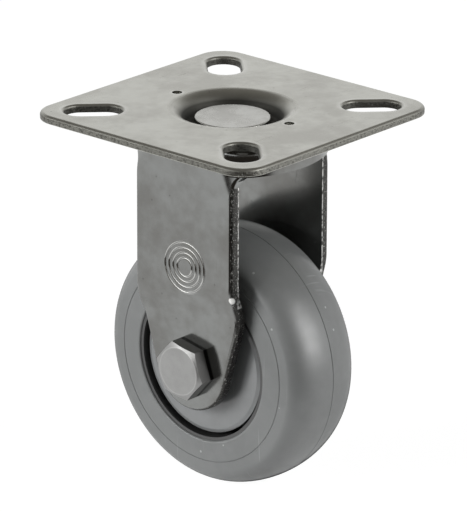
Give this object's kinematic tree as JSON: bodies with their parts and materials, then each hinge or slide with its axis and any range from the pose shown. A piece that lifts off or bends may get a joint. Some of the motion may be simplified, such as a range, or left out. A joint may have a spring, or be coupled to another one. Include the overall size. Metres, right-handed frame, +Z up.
{
  "type": "fixed castor",
  "caption": "Rigid plate castor: square slotted top plate, pressed steel fork riveted below it, and a grey rubber-tyred wheel on a hexagon-headed axle bolt.",
  "frame": {"origin": "Centre of the top plate's upper face, which bolts flat under a trolley, cabinet or machine.", "axes": "+Z up out of the plate; +X the way the wheel rolls; Y along the axle, with the bolt head on the -Y side and the nut on the +Y side."},
  "size_m": [0.0536, 0.0536, 0.0728],
  "materials": {
    "zinc_plate": "bright zinc plated, softly glossy pressed sheet",
    "rivet_steel": "bright zinc plated, flat formed head",
    "bolt_steel": "zinc plated, cold formed",
    "insert_nylon": "plain nylon",
    "tube_steel": "plain drawn tube",
    "guard_plastic": "smooth moulded grey",
    "race_steel": "ground bearing steel",
    "ball_steel": "polished bearing steel",
    "cage_steel": "pressed thin sheet",
    "centre_plastic": "black moulded polypropylene",
    "tyre_rubber": "satin grey non-marking thermoplastic rubber"
  },
  "bodies": {
    "castor_frame": {"top_plate": "zinc_plate", "fork": "zinc_plate", "head_rivet": "rivet_steel", "axle_bolt": "bolt_steel", "lock_nut": "bolt_steel", "nut_insert": "insert_nylon", "axle_sleeve": "tube_steel", "bearing_spacer": "tube_steel", "near_thread_guard": "guard_plastic", "far_thread_guard": "guard_plastic", "near_inner_race": "race_steel", "far_inner_race": "race_steel"},
    "wheel": {"wheel_centre": "centre_plastic", "tyre": "tyre_rubber", "near_outer_race": "race_steel", "far_outer_race": "race_steel", "near_bearing_shield": "cage_steel", "far_bearing_shield": "cage_steel"},
    "near_cage": {"near_bearing_balls": "ball_steel", "near_bearing_cage": "cage_steel"},
    "far_cage": {"far_bearing_balls": "ball_steel", "far_bearing_cage": "cage_steel"}
  },
  "joints": [
    {"name": "wheel_spin", "type": "hinge", "parent": "castor_frame", "child": "wheel", "pos_m": [0, 0, -0.0478], "axis": [0, 1, 0], "continuous": true},
    {"name": "near_cage_spin", "type": "hinge", "parent": "castor_frame", "child": "near_cage", "pos_m": [0, -0.0037, -0.0478], "axis": [0, 1, 0], "continuous": true},
    {"name": "far_cage_spin", "type": "hinge", "parent": "castor_frame", "child": "far_cage", "pos_m": [0, 0.0037, -0.0478], "axis": [0, 1, 0], "continuous": true}
  ],
  "couplings": [
    {"joint": "near_cage_spin", "follows": "wheel_spin", "ratio": 0.6},
    {"joint": "far_cage_spin", "follows": "wheel_spin", "ratio": 0.6}
  ]
}
